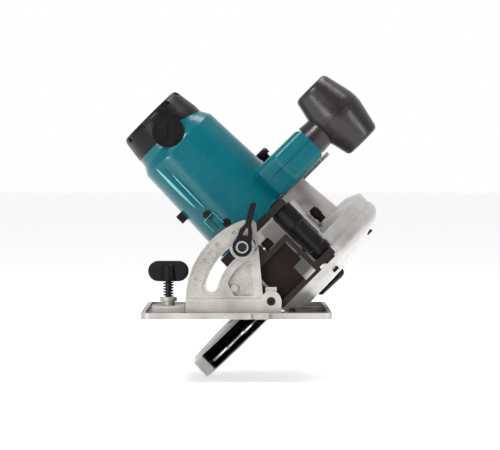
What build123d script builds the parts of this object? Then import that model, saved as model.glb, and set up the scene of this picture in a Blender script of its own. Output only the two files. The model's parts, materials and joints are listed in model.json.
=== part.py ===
"""Portable circular saw, 235 mm class, stored with its blade tilted to 45 degrees.

Row frame: +Z up, sole of the base plate at Z = 0, -Y is the cutting direction, the motor is on the -X side.
Everything that tilts is drawn upright in a "saw frame" whose origin lies on the bevel axis (x sideways, positive
away from the motor; y as the row frame; z up along the blade), and TILT carries it to its stored place.
The saw body, with all that swings or turns on it, is drawn in a "body frame", the saw frame moved by BODY_X, BODY_Z.
"""

from build123d import *
import math
import os

# Stored pose
BEVEL = 45.0
PIVOT_X, PIVOT_Z = 34.5, 17.5
TILT = Pos(PIVOT_X, 0, PIVOT_Z) * Rot(0, BEVEL, 0)
BODY_X, BODY_Z = 4.5, -2.9
BODY = TILT * Pos(BODY_X, 0, BODY_Z)

# Base plate
BASE_W, BASE_L = 190.0, 330.0
BASE_T, LIP_H, LIP_W = 3.2, 6.3, 4.0
SLOT_X0, SLOT_X1, SLOT_Y0, SLOT_Y1 = -5.0, 49.5, -117.0, 139.0
GUIDE_X, GUIDE_Y, GUIDE_W = -68.0, -124.5, 22.0
BAR_Z0, BAR_Z1 = BASE_T, 8.6
BRIDGE_TOP, GUIDE_BOSS_TOP = 13.0, 21.0

# Bevel quadrants: front and rear
QUAD_R, QUAD_SLOT_R, QUAD_SLOT_HALF = 85.2, 61.2, 6.0
QUAD_FRONT, QUAD_BACK = -148.0, -140.0
CLAMP_ANGLE = 163.1  # polar angle of the clamp bolt when the blade is upright, from +x towards +z
BEVEL_MAX = 50.0
RAIL_TOP = 20.0
EAR_R = 10.4
REAR_R, REAR_SLOT_R, REAR_SLOT_HALF = 52.0, 38.0, 4.5
REAR_FRONT, REAR_BACK = 145.6, 152.0
PIVOT_BOLT_R = 4.3
CLAMP_BOLT_R = 4.0

# Blade, spindle and gears
BLADE_R, BLADE_T, BLADE_TEETH = 117.5, 1.8, 24
TIP_W, TIP_H, TIP_DEPTH = 2.6, 7.0, 2.4
BLADE_Y, BLADE_Z = 10.0, 19.0
MODULE, GEAR_TEETH, PINION_TEETH = 1.5, 32, 8
PRESSURE_ANGLE, ADDENDUM, DEDENDUM, BACKLASH = 28.0, 0.8, 1.05, 0.24
GEAR_GAP = MODULE * (GEAR_TEETH + PINION_TEETH) / 2
MOTOR_Z = BLADE_Z + 28.0
MOTOR_Y = BLADE_Y - math.sqrt(GEAR_GAP**2 - (MOTOR_Z - BLADE_Z) ** 2)
FLANGE_R, SPINDLE_R = 22.0, 7.5
RUNNING = 0.05  # radial clearance of a running fit

# Guards
CASE_R, COVER_R, COVER_HOLE_R = 125.0, 126.5, 66.0
CASE_BOTTOM, HOUSING_BOTTOM = -5.1, -7.6
GUARD_R, GUARD_X0, GUARD_X1 = 121.0, -14.5, 8.2
GUARD_FRONT, GUARD_REAR = 178.0, 352.0
SLIT_END = 243.0
HUB_R, HUB_BORE = 30.0, 24.0 + RUNNING
LEVER_R, LEVER_ANGLE = 60.0, 40.0

# Motor
HOUSING_X1, CAVITY_R, STATOR_BORE = -68.0, 42.0, 28.0
HOUSING_SECTIONS = [(-68.0, 100.0, 36.0), (-181.0, 91.2, 36.0), (-190.0, 81.0, 34.0), (-199.0, 79.0, 34.0)]
SEAM_X, SEAM_TOP_X = -198.0, -191.5
CAP_X0, CAP_R, CAP_END_R, CAP_WALL = -224.0, 40.2, 36.6, 2.8
BRUSH_X, BRUSH_LEAN, BRUSH_CAP_R, BRUSH_RING_R = -198.4, -3.0, 13.6, 16.4

# Depth hinge and depth guide
HINGE_Y, HINGE_Z, HINGE_R = -120.0, 71.0, 6.0
LUG_Z = HINGE_Z - BODY_Z  # the hinge's height in the body frame
GUIDE_R, GUIDE_ARM_HALF, GUIDE_X0, GUIDE_X1 = 245.0, 11.0, -62.5, -58.5
DEPTH_LOW, DEPTH_TRAVEL = -13.0, 29.0
BRACKET_FRONT, BRACKET_BACK = -139.7, -135.7

# Handles
HANDLE_X0, HANDLE_X1, HANDLE_MID = -106.5, -69.0, -90.0
NECK_Y0, NECK_Y1, NECK_TOP = -76.0, -36.0, 145.0
HANDLE_WALL, HANDLE_ROUND = 3.4, 7.0
TRIGGER_Y, TRIGGER_Z, TRIGGER_SLOPE = 65.0, 84.0, -21.8
LOCK_OFF_Y, LOCK_OFF_Z = 62.0, 101.0
GLAND_Z, GLAND_END = 22.0, 212.0
KNOB_X, KNOB_Z, KNOB_R, KNOB_END_R, KNOB_HALF = -89.0, 182.5, 27.5, 19.5, 38.5


def block(x0, x1, y0, y1, z0, z1):
    return Pos((x0 + x1) / 2, (y0 + y1) / 2, (z0 + z1) / 2) * Box(x1 - x0, y1 - y0, z1 - z0)


def rod_x(r, x0, x1, y, z):
    return Pos((x0 + x1) / 2, y, z) * Rot(0, 90, 0) * Cylinder(r, x1 - x0)


def rod_y(r, y0, y1, x, z):
    return Pos(x, (y0 + y1) / 2, z) * Rot(90, 0, 0) * Cylinder(r, y1 - y0)


def rod_z(r, z0, z1, x, y):
    return Pos(x, y, (z0 + z1) / 2) * Cylinder(r, z1 - z0)


def hex_y(flats, y0, y1, x, z, turn=0.0):
    """Hexagonal prism along y."""
    return plate_y(Pos(x, z) * Rot(0, 0, turn) * RegularPolygon(flats / math.sqrt(3), 6), y0, y1)


def hex_x(flats, x0, x1, y, z):
    """Hexagonal prism along x."""
    return plate_x(Pos(y, z) * RegularPolygon(flats / math.sqrt(3), 6), x0, x1)


def plate_x(sketch, x0, x1):
    """A sketch in (y, z), thickened along x."""
    return extrude(Plane.YZ.offset(x0) * sketch, x1 - x0, dir=(1, 0, 0))


def plate_y(sketch, y0, y1):
    """A sketch in (x, z), thickened along y."""
    return extrude(Plane.XZ.offset(-y1) * sketch, y1 - y0, dir=(0, -1, 0))


def plate_z(sketch, z0, z1):
    return extrude(Pos(0, 0, z0) * sketch, z1 - z0, dir=(0, 0, 1))


def lathe_x(points, y, z):
    """A profile of (x, radius) points turned about an axis along x."""
    return Pos(0, y, z) * revolve(Polygon(*points, align=None), Axis.X, 360)


def lathe_y(points, x, z):
    """A profile of (y, radius) points turned about an axis along y."""
    return Pos(x, 0, z) * revolve(Polygon(*[(r, y) for y, r in points], align=None), Axis.Y, 360)


def lathe_z(points, x, y):
    """A profile of (z, radius) points turned about an axis along z."""
    return Pos(x, y, 0) * revolve(Plane.XZ * Polygon(*[(r, z) for z, r in points], align=None), Axis.Z, 360)


def polar(cx, cy, r, degrees):
    a = math.radians(degrees)
    return (cx + r * math.cos(a), cy + r * math.sin(a))


def wedge(cx, cy, r, start, end):
    """A sector sketch, drawn as a fan of straight chords: only ever used as a cutter larger than the work."""
    count = max(2, math.ceil((end - start) / 15))
    rim = [polar(cx, cy, r, start + (end - start) * i / count) for i in range(count + 1)]
    return Polygon((cx, cy), *rim, align=None)


def arc_slot(cx, cy, r, half, start, end):
    """A curved slot sketch with round ends."""
    ring = (Pos(cx, cy) * Circle(r + half)) - (Pos(cx, cy) * Circle(r - half))
    ends = [Pos(*polar(cx, cy, r, a)) * Circle(half) for a in (start, end)]
    return (ring & wedge(cx, cy, 3 * r, start, end)) + ends[0] + ends[1]


def helix_z(x, y, z0, z1, r, wire, turns):
    """A round-wire coil spring standing on z."""
    path = Pos(x, y, z0) * Helix((z1 - z0) / turns, z1 - z0, r)
    return sweep(Plane(path @ 0, z_dir=path % 0) * Circle(wire / 2), path)


def save(name, *solids):
    shape = solids[0] if len(solids) == 1 else Compound(children=[s for part in solids for s in part.solids()])
    export_step(shape, f"parts/{name}.step")


def save_tilted(name, *solids):
    save(name, *[TILT * s for s in solids])


def save_body(name, *solids):
    save(name, *[BODY * s for s in solids])


# ---------------------------------------------------------------- base

def quadrant_screw(x, y, top):
    """Countersunk screw driven up through the base plate."""
    return lathe_z([(0.3, 0), (0.3, 4.6), (2.6, 2.4), (top, 2.4), (top, 0)], x, y)


QUADRANT_SCREWS = [(-40, -144.5), (14, -144.5), (-6, 149), (40, 149)]


def base_plate():
    outline = RectangleRounded(BASE_W, BASE_L, 9)
    inner = RectangleRounded(BASE_W - 2 * LIP_W, BASE_L - 2 * LIP_W, 6)
    slot_w, slot_l = SLOT_X1 - SLOT_X0, SLOT_Y1 - SLOT_Y0
    slot_at = Pos((SLOT_X0 + SLOT_X1) / 2, (SLOT_Y0 + SLOT_Y1) / 2)
    plate = plate_z(outline, 0, BASE_T) + plate_z(outline - inner, BASE_T, LIP_H)
    plate += plate_z(slot_at * RectangleRounded(slot_w + 6, slot_l + 6, 6), BASE_T, LIP_H)
    for x in (-50.0, -28.0):
        plate += block(x - 1.5, x + 1.5, -104, 160, BASE_T, LIP_H - 0.8)
    for x0, x1 in ((-94, -8), (50, 94)):
        for y in (-100, -30, 40, 110):
            plate += block(x0, x1, y - 1.25, y + 1.25, BASE_T, LIP_H - 1.2)
    plate += block(60, 63, -104, 160, BASE_T, LIP_H - 0.8)
    plate -= plate_z(slot_at * RectangleRounded(slot_w, slot_l, 4), -1, LIP_H + 1)
    # Bridge over the rip-fence bar, with the boss that its clamp bolt is screwed into
    y0, y1 = GUIDE_Y - GUIDE_W / 2, GUIDE_Y + GUIDE_W / 2
    bridge = block(GUIDE_X - 16, GUIDE_X + 16, y0 - 3.5, y1 + 3.5, BASE_T, BRIDGE_TOP)
    bridge = fillet(bridge.edges().filter_by(Axis.X).group_by(Axis.Z)[-1], 3)
    bridge += rod_z(6.4, BRIDGE_TOP - 1, GUIDE_BOSS_TOP - 4, GUIDE_X, GUIDE_Y)
    bridge += rod_z(8.4, GUIDE_BOSS_TOP - 4, GUIDE_BOSS_TOP, GUIDE_X, GUIDE_Y)
    bridge -= block(GUIDE_X - 17, GUIDE_X + 17, y0, y1, BAR_Z0, BAR_Z1)
    bridge -= rod_z(3.0 + RUNNING, BAR_Z1 - 1, GUIDE_BOSS_TOP + 1, GUIDE_X, GUIDE_Y)
    plate += bridge
    plate -= block(-BASE_W, GUIDE_X, y0, y1, BASE_T, BAR_Z1 - 0.01)
    for x, y in QUADRANT_SCREWS:
        plate -= quadrant_screw(x, y, 14.0)
    # Two sighting notches in the front edge: the cut line at 0 and at 45 degrees
    for x in (PIVOT_X, PIVOT_X - PIVOT_Z):
        plate -= block(x - 2.2, x + 2.2, -BASE_L / 2 - 1, -BASE_L / 2 + 3, -1, LIP_H + 1)
    return plate


def rail_and_ear(x0, y0, y1, front):
    """The rail that a quadrant stands on, and the ear round the bevel bolt, bored for it."""
    rail = block(x0, PIVOT_X - 6, y0, y1, BASE_T, RAIL_TOP if front else 14.0)
    ear = plate_y(Pos(PIVOT_X, PIVOT_Z) * Circle(EAR_R), y0, y1)
    ear += block(PIVOT_X - EAR_R, PIVOT_X + EAR_R, y0, y1, BASE_T, PIVOT_Z)
    return rail + ear


def quadrant_sector(r, right_bottom, right_top, corner):
    """Sector outline in (x, z): the arc on the left, a post's straight edge on the right, a round top corner."""
    bottom = 10.0
    disc = Pos(PIVOT_X, PIVOT_Z) * Circle(r)
    keep = Polygon((PIVOT_X - 2 * r, bottom), right_bottom, right_top, (PIVOT_X - 2 * r, right_top[1]), align=None)
    sector = disc & keep
    return fillet(sector.vertices().group_by(Axis.Y)[-1].sort_by(Axis.X)[-1], corner)


def front_quadrant():
    start, end = CLAMP_ANGLE + 2.5, CLAMP_ANGLE - BEVEL_MAX - 2.5
    sector = quadrant_sector(QUAD_R, (27.5, 10.0), (19.5, 98.0), 5.0)
    body = plate_y(sector, QUAD_FRONT, QUAD_BACK)
    slot = arc_slot(PIVOT_X, PIVOT_Z, QUAD_SLOT_R, QUAD_SLOT_HALF, end, start)
    recess = arc_slot(PIVOT_X, PIVOT_Z, QUAD_SLOT_R, QUAD_SLOT_HALF + 3.0, end, start + 1.0)
    body -= plate_y(recess, QUAD_FRONT - 1, QUAD_FRONT + 1.3)
    body -= plate_y(slot, QUAD_FRONT - 1, QUAD_BACK + 1)
    # Cast pocket between the slot and the right-hand post
    ring = (Pos(PIVOT_X, PIVOT_Z) * Circle(47.0)) - (Pos(PIVOT_X, PIVOT_Z) * Circle(14.0))
    pocket = ring & Polygon((-2, RAIL_TOP + 3), (17.5, RAIL_TOP + 3), (13.5, 75), (-30, 75), align=None)
    body -= plate_y(fillet(pocket.vertices(), 2.5), QUAD_FRONT - 1, QUAD_FRONT + 4.5)
    body += rod_y(3.6, QUAD_FRONT + 1.0, QUAD_FRONT + 5, -2.0, 30.5)
    # Thin raised beads along the rim and the post
    rim = (Pos(PIVOT_X, PIVOT_Z) * Circle(QUAD_R)) - (Pos(PIVOT_X, PIVOT_Z) * Circle(QUAD_R - 1.8))
    body += plate_y(rim & sector, QUAD_FRONT - 0.8, QUAD_FRONT)
    body += rail_and_ear(PIVOT_X - QUAD_R + 0.5, -150.0, QUAD_BACK, True)
    body += block(PIVOT_X - 5.5, PIVOT_X + 5.5, -146.5, QUAD_BACK, PIVOT_Z + 8, PIVOT_Z + 14)
    body -= rod_y(PIVOT_BOLT_R + 0.02, -151, QUAD_BACK + 1, PIVOT_X, PIVOT_Z)
    for x, y in QUADRANT_SCREWS[:2]:
        body -= quadrant_screw(x, y, 14.0)
    return body


def rear_quadrant():
    start, end = CLAMP_ANGLE + 3.0, CLAMP_ANGLE - BEVEL_MAX - 3.0
    sector = quadrant_sector(REAR_R, (27.5, 10.0), (23.0, 66.0), 4.0)
    body = plate_y(sector, REAR_FRONT, REAR_BACK)
    body -= plate_y(arc_slot(PIVOT_X, PIVOT_Z, REAR_SLOT_R, REAR_SLOT_HALF, end, start), REAR_FRONT - 1, REAR_BACK + 1)
    body += rail_and_ear(PIVOT_X - REAR_R + 0.5, REAR_FRONT, REAR_BACK, False)
    body -= rod_y(PIVOT_BOLT_R + 0.02, REAR_FRONT - 1, REAR_BACK + 1, PIVOT_X, PIVOT_Z)
    for x, y in QUADRANT_SCREWS[2:]:
        body -= quadrant_screw(x, y, 10.0)
    return body


def pivot_bolt(head_y, tip_y):
    """Hexagon-socket pivot bolt with its nut on the inner side of the bracket."""
    sign = 1 if tip_y > head_y else -1
    bolt = rod_y(PIVOT_BOLT_R, min(head_y, tip_y), max(head_y, tip_y), PIVOT_X, PIVOT_Z)
    socket = sorted((head_y - sign, head_y + 3.5 * sign))
    return bolt - hex_y(4.0, socket[0], socket[1], PIVOT_X, PIVOT_Z)


def pivot_nut(y0, y1):
    return hex_y(13.0, y0, y1, PIVOT_X, PIVOT_Z, 15) - rod_y(PIVOT_BOLT_R, y0 - 1, y1 + 1, PIVOT_X, PIVOT_Z)


def guide_bolt():
    bolt = rod_z(3.0, BAR_Z1 - 0.4, 40.0, GUIDE_X, GUIDE_Y)
    return bolt - rod_z(2.0, BAR_Z1 - 2, BAR_Z1, GUIDE_X, GUIDE_Y)


def guide_knob():
    """Wing head: a stadium-shaped blade with a tapered hub moulded round the bolt."""
    z0, z1 = 36.8, 57.2
    wing = plate_y(Pos(GUIDE_X, (z0 + z1) / 2) * SlotOverall(40.6, z1 - z0), GUIDE_Y - 3.2, GUIDE_Y + 3.2)
    wing = fillet(wing.edges().filter_by(lambda e: abs(e.center().Y - GUIDE_Y) > 3.1), 1.6)
    hub = lathe_z([(z0, 0), (z0, 8.6), (z0 + 15.5, 6.4), (z0 + 17, 5.2), (z0 + 17, 0)], GUIDE_X, GUIDE_Y)
    return wing + hub - rod_z(3.0, z0 - 1, 40.0, GUIDE_X, GUIDE_Y)


def make_base():
    save("base_plate", base_plate())
    save("front_quadrant", front_quadrant())
    save("rear_quadrant", rear_quadrant())
    save("quadrant_screws", *[quadrant_screw(x, y, 13.8 if y < 0 else 9.8) for x, y in QUADRANT_SCREWS])
    save("pivot_bolts", pivot_bolt(-150.6, -129.5), pivot_bolt(152.6, 136.9),
         pivot_nut(-135.5, -130.0), pivot_nut(137.0, 140.8))
    spring = helix_z(GUIDE_X, GUIDE_Y, GUIDE_BOSS_TOP + 0.8, 35.9, 4.7, 1.3, 5)
    save("guide_spring", spring)
    save("guide_bolt", guide_bolt())
    save("guide_knob", guide_knob())


# ---------------------------------------------------------------- tilt frame

def front_bracket():
    clamp = polar(0, 0, QUAD_SLOT_R, CLAMP_ANGLE)
    outline = Polygon((-64, -7), (9, -7), (13.5, 4), (13.5, 58), (-66, 58), (-66, 30), align=None)
    outline += Circle(10.8)
    outline += Pos(*clamp) * Circle(11.5)
    outline -= Polygon((-58, 31), (-37, 31), (-37, 60), (-58, 60), align=None)
    outline -= Polygon((-31, 6), (7.5, 6), (7.5, 39), (10, 39), (10, 53), (-31, 53), align=None)
    outline -= Circle(PIVOT_BOLT_R + RUNNING)
    bracket = plate_y(outline, BRACKET_FRONT, BRACKET_BACK)
    # Ears round the hinge pin, and the side wall that is folded back behind the blade opening
    for x0, x1 in ((-65.2, -58.2), (3.5, 10.5)):
        bracket += block(x0, x1, BRACKET_FRONT, HINGE_Y, HINGE_Z - 14, HINGE_Z + 9)
        bracket += rod_x(9.0, x0, x1, HINGE_Y, HINGE_Z)
    bracket += block(10.5, 13.5, BRACKET_FRONT, -128, 14, 50)
    bracket -= rod_x(HINGE_R + 0.01, -80, 20, HINGE_Y, HINGE_Z)
    bracket -= plate_y(Pos(*clamp) * Rectangle(8.04, 8.04), BRACKET_FRONT - 1, BRACKET_BACK + 1)
    return bracket


def front_shield():
    """Thin black plate behind the bracket's blade opening, lower on the blade's side."""
    outline = Polygon((-34, 8.5), (10.4, 8.5), (10.4, 39.5), (-8, 39.5), (-8, 51), (-34, 51), align=None)
    return plate_y(outline, BRACKET_BACK, BRACKET_BACK + 1.5)


def clamp_bolt(front):
    """Square-necked bevel clamp bolt through the bracket and the quadrant's slot."""
    if front:
        x, z = polar(0, 0, QUAD_SLOT_R, CLAMP_ANGLE)
        neck = plate_y(Pos(x, z) * Rectangle(8, 8), BRACKET_FRONT, BRACKET_BACK)
        head = rod_y(7.0, BRACKET_BACK, BRACKET_BACK + 3.5, x, z)
        return rod_y(CLAMP_BOLT_R, -166.5, BRACKET_FRONT, x, z) + neck + head
    x, z = polar(0, 0, REAR_SLOT_R, CLAMP_ANGLE)
    return rod_y(3.0, 141, 163, x, z) + rod_y(5.5, 138.0, 141, x, z)


def clamp_washer():
    """Large zinc washer between the quadrant and the lever, with two raised stop tabs."""
    x, z = polar(0, 0, QUAD_SLOT_R, CLAMP_ANGLE)
    disc = Circle(12.6) - Circle(CLAMP_BOLT_R + 0.1)
    washer = plate_y(Pos(x, z) * disc, QUAD_FRONT - 2.9, QUAD_FRONT - 0.9)
    for turn in (25.0, 118.0):
        tab = Rot(0, 0, turn) * Pos(11.0, 0) * Rectangle(3.0, 7.0)
        washer += plate_y(Pos(x, z) * tab, QUAD_FRONT - 4.6, QUAD_FRONT - 2.4)
    return washer


def depth_guide():
    """Rear bevel bracket and the slotted depth arm, one pressed part."""
    arm = arc_slot(HINGE_Y, HINGE_Z, GUIDE_R, GUIDE_ARM_HALF, DEPTH_LOW - 3, DEPTH_LOW + DEPTH_TRAVEL)
    slot = arc_slot(HINGE_Y, HINGE_Z, GUIDE_R, 4.2, DEPTH_LOW - 0.6, DEPTH_LOW + DEPTH_TRAVEL + 0.6)
    foot = Polygon((104, -7), (145, -7), (145, 14), (120, 18), align=None)
    guide = plate_x((arm + foot) - slot, GUIDE_X0, GUIDE_X1)
    guide &= block(GUIDE_X0, GUIDE_X1, 0, 145, -7, 200)
    clamp = polar(0, 0, REAR_SLOT_R, CLAMP_ANGLE)
    bracket = Polygon((GUIDE_X0, -7), (8, -7), (9, 6), (-30, 21), (GUIDE_X0, 14), align=None)
    bracket += Circle(10.4)
    bracket += Pos(*clamp) * Circle(9.0)
    bracket -= Circle(PIVOT_BOLT_R + RUNNING)
    guide += plate_y(bracket, 141.0, 145.2)
    return guide - rod_y(3.0, 140, 146, *clamp)


def hinge_pin():
    pin = rod_x(HINGE_R, -66, 14, HINGE_Y, HINGE_Z) + rod_x(8.0, -67, -65.2, HINGE_Y, HINGE_Z)
    return pin - rod_x(1.2, 11.5, 12.7, HINGE_Y, HINGE_Z)


def hinge_clip():
    ring = Circle(8.2) - Circle(HINGE_R)
    return plate_x(Pos(HINGE_Y, HINGE_Z) * ring, 10.7, 12.0)


def lever_outline():
    """Bevel lever seen from the front: a round hub, two legs that meet, and a slim handle leaning right."""
    hub = Circle(9.6)
    arm = Polygon((-8.4, 3), (8.4, 3), (6.4, 16), (3.0, 24), (2.7, 46), (-2.7, 46), (-3.0, 24), (-6.8, 16), align=None)
    eye = Polygon((-3.4, 11.5), (3.0, 11.5), (0.2, 21.5), align=None)
    return hub + fillet(arm.vertices().group_by(Axis.Y)[-1], 2.4) - fillet(eye.vertices(), 0.8)


BEVEL_LEVER_LEAN = -15.0  # degrees from upright in the stored pose, negative leans right


def bevel_lever():
    x, z = polar(0, 0, QUAD_SLOT_R, CLAMP_ANGLE)
    at = Pos(x, z) * Rot(0, 0, BEVEL_LEVER_LEAN + BEVEL)
    lever = plate_y(at * lever_outline(), -160.5, -154.4)
    grip = Polygon((-2.7, 26), (2.7, 26), (2.7, 46), (-2.7, 46), align=None)
    lever += plate_y(at * fillet(grip.vertices().group_by(Axis.Y)[-1], 2.4), -163.0, -160.5)
    for i in range(7):
        lever += plate_y(at * (Pos(-2.9, 27.5 + 2.4 * i) * Circle(0.9)), -162.2, -156)
    lever += plate_y(at * Circle(8.0), -154.4, QUAD_FRONT - 2.9 - 0.1)
    lever -= hex_y(13.0, -161, -156.8, x, z, BEVEL_LEVER_LEAN + BEVEL)
    return lever - rod_y(CLAMP_BOLT_R + RUNNING, -170, -140, x, z)


def bevel_lever_nut():
    x, z = polar(0, 0, QUAD_SLOT_R, CLAMP_ANGLE)
    nut = hex_y(13.0, -163.6, -156.8, x, z, BEVEL_LEVER_LEAN + BEVEL)
    return nut - rod_y(CLAMP_BOLT_R + RUNNING, -170, -140, x, z)


def rear_wing_nut():
    x, z = polar(0, 0, REAR_SLOT_R, CLAMP_ANGLE)
    wings = Rectangle(26, 4.5)
    nut = plate_y(Pos(x, z) * Rot(0, 0, BEVEL) * wings, 154.4, 163.5)
    nut = fillet(nut.edges().filter_by(Axis.Y), 1.2) + rod_y(7.0, REAR_BACK + 0.4, 160, x, z)
    return nut - rod_y(3.0 + RUNNING, 150, 170, x, z)


def make_tilt_frame():
    save_tilted("front_bracket", front_bracket())
    save_tilted("front_shield", front_shield())
    save_tilted("bevel_clamp_bolts", clamp_bolt(True), clamp_bolt(False))
    save_tilted("bevel_clamp_washer", clamp_washer())
    save_tilted("depth_guide", depth_guide())
    save_tilted("hinge_pin", hinge_pin(), hinge_clip())
    save_tilted("bevel_lever", bevel_lever())
    save_tilted("bevel_lever_nut", bevel_lever_nut())
    save_tilted("rear_wing_nut", rear_wing_nut())


# ---------------------------------------------------------------- blade, spindle, gears

def involute(angle):
    return math.tan(angle) - angle


def gear_outline(teeth, first_tooth):
    """Spur gear outline: involute flanks, stub teeth; first_tooth is the polar angle of one tooth's middle."""
    pitch = MODULE * teeth / 2
    pressure = math.radians(PRESSURE_ANGLE)
    base = pitch * math.cos(pressure)
    tip, root = pitch + ADDENDUM * MODULE, pitch - DEDENDUM * MODULE
    half = math.pi / (2 * teeth) - BACKLASH / (4 * pitch)
    low = max(base, root)
    flank = []
    for i in range(5):
        r = low + (tip - low) * i / 4
        flank.append((r, half + involute(pressure) - involute(math.acos(min(1.0, base / r)))))
    if root < base:
        flank.insert(0, (root, flank[0][1]))
    points = []
    for k in range(teeth):
        middle = math.radians(first_tooth) + 2 * math.pi * k / teeth
        for side, run in ((-1, flank), (1, flank[::-1])):
            points += [(r * math.cos(middle + side * a), r * math.sin(middle + side * a)) for r, a in run]
    return Polygon(*points, align=None)


MESH_ANGLE = math.degrees(math.atan2(MOTOR_Z - BLADE_Z, MOTOR_Y - BLADE_Y))


def drive_gear():
    sketch = gear_outline(GEAR_TEETH, MESH_ANGLE) - Circle(8.5)
    for k in range(5):
        sketch -= Rot(0, 0, 72 * k) * Pos(16.5, 0) * Circle(3.4)
    gear = plate_x(Pos(BLADE_Y, BLADE_Z) * sketch, -50, -40)
    hub = plate_x(Pos(BLADE_Y, BLADE_Z) * (Circle(12) - Circle(8.5)), -53, -37)
    return gear + hub


def armature_shaft():
    """Motor shaft with the pinion cut on its end."""
    teeth = gear_outline(PINION_TEETH, MESH_ANGLE + 180 - 180 / PINION_TEETH)
    pinion = plate_x(Pos(MOTOR_Y, MOTOR_Z) * teeth, -60, -38)
    steps = [(-219.7, 0), (-219.7, 4), (-211, 4), (-211, 5), (-152, 5), (-152, 6), (-86, 6), (-86, 5),
             (-66, 5), (-64, 4.4), (-60, 4.4), (-60, 0)]
    return lathe_x(steps, MOTOR_Y, MOTOR_Z) + pinion


def armature_core():
    """Laminated core with slots for the windings."""
    sketch = Circle(27) - Circle(6)
    for k in range(12):
        sketch -= Rot(0, 0, 30 * k) * Pos(22.6, 0) * Rectangle(6.5, 3.4)
        sketch -= Rot(0, 0, 30 * k) * Pos(26.4, 0) * Rectangle(3.0, 1.6)
    return plate_x(Pos(MOTOR_Y, MOTOR_Z) * sketch, -150, -106)


def armature_windings():
    """Copper end turns, one ring at each end of the core."""
    ring = Pos(MOTOR_Y, MOTOR_Z) * (Circle(24) - Circle(8))
    ends = [plate_x(ring, -158, -150), plate_x(ring, -106, -99)]
    return [fillet(e.edges().filter_by(GeomType.CIRCLE), 2.4) for e in ends]


def commutator():
    sketch = Circle(16) - Circle(5)
    for k in range(24):
        sketch -= Rot(0, 0, 15 * k) * Pos(15.6, 0) * Rectangle(1.6, 0.6)
    return plate_x(Pos(MOTOR_Y, MOTOR_Z) * sketch, -210, -188)


def fan():
    """Cooling fan: a disc with curved-back straight blades."""
    disc = plate_x(Pos(MOTOR_Y, MOTOR_Z) * (Circle(38) - Circle(6)), -90.5, -88.5)
    disc += rod_x(10, -96, -88.5, MOTOR_Y, MOTOR_Z) - rod_x(6, -97, -88, MOTOR_Y, MOTOR_Z)
    for k in range(14):
        blade = Rot(0, 0, 360 * k / 14) * Pos(26, 0) * Rot(0, 0, 22) * Rectangle(20, 1.4)
        disc += plate_x(Pos(MOTOR_Y, MOTOR_Z) * blade, -96, -90.5)
    return disc


def spindle():
    steps = [(-63.5, 0), (-63.5, 5), (-55.5, 5), (-55.5, 8.5), (-22.4, 8.5), (-22.4, SPINDLE_R), (1.1, SPINDLE_R),
             (1.1, 0)]
    return lathe_x(steps, BLADE_Y, BLADE_Z) - rod_x(4.0, -18, 2, BLADE_Y, BLADE_Z)


def blade_disc():
    """Toothed disc: each tooth is a radial face, a short back and a round gullet."""
    step = 360 / BLADE_TEETH
    points = []
    for k in range(BLADE_TEETH, 0, -1):
        a = k * step
        points += [polar(0, 0, BLADE_R - 0.6, a), polar(0, 0, BLADE_R - 2.2, a - 0.36 * step),
                   polar(0, 0, BLADE_R - 10.0, a - 0.62 * step), polar(0, 0, BLADE_R - 12.5, a - 0.80 * step),
                   polar(0, 0, BLADE_R - 9.5, a - 0.97 * step)]
    sketch = Polygon(*points[::-1], align=None) - Circle(15.05)
    for k in range(4):
        sketch -= Rot(0, 0, 90 * k + 20) * Pos(BLADE_R - 20, 0) * Rectangle(22, 1.0)
        sketch -= Rot(0, 0, 90 * k + 20) * Pos(BLADE_R - 31, 0) * Circle(2.0)
        sketch -= Rot(0, 0, 90 * k + 65) * Pos(62, 0) * Circle(4.0)
    disc = plate_x(Pos(BLADE_Y, BLADE_Z) * sketch, -BLADE_T / 2, BLADE_T / 2)
    for tip in blade_tips():
        disc -= tip
    return disc


def blade_tips():
    """Carbide tips, brazed into the front of each tooth."""
    step = 360 / BLADE_TEETH
    tips = []
    for k in range(BLADE_TEETH):
        seat = Pos(BLADE_R - TIP_H / 2, -TIP_DEPTH / 2) * Rectangle(TIP_H, TIP_DEPTH)
        sketch = Pos(BLADE_Y, BLADE_Z) * Rot(0, 0, k * step) * seat
        tips.append(plate_x(sketch, -TIP_W / 2, TIP_W / 2))
    return tips


def inner_flange():
    return lathe_x([(-5.6, SPINDLE_R), (-5.6, 12), (-4.4, FLANGE_R), (-0.9, FLANGE_R), (-0.9, 15), (0.7, 15),
                    (0.7, SPINDLE_R)], BLADE_Y, BLADE_Z)


def outer_flange():
    return lathe_x([(1.2, 4.0), (1.2, 14.0), (0.9, 14.0), (0.9, FLANGE_R), (2.6, FLANGE_R), (5.4, 15), (5.4, 4.0)],
                   BLADE_Y, BLADE_Z)


def blade_bolt():
    head = hex_x(13, 6.8, 12.6, BLADE_Y, BLADE_Z) + rod_x(9.5, 5.4, 6.8, BLADE_Y, BLADE_Z)
    head = head + rod_x(4.0, -16, 5.4, BLADE_Y, BLADE_Z)
    return head - rod_x(3.4, 10.5, 13, BLADE_Y, BLADE_Z)


def make_drive():
    save_body("blade_disc", blade_disc())
    save_body("blade_tips", *blade_tips())
    save_body("spindle", spindle())
    save_body("drive_gear", drive_gear())
    save_body("inner_flange", inner_flange())
    save_body("outer_flange", outer_flange())
    save_body("blade_bolt", blade_bolt())
    save_body("armature_shaft", armature_shaft())
    save_body("armature_core", armature_core())
    save_body("armature_windings", *armature_windings())
    save_body("commutator", commutator())
    save_body("fan", fan())


# ---------------------------------------------------------------- guards and blade case

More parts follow.
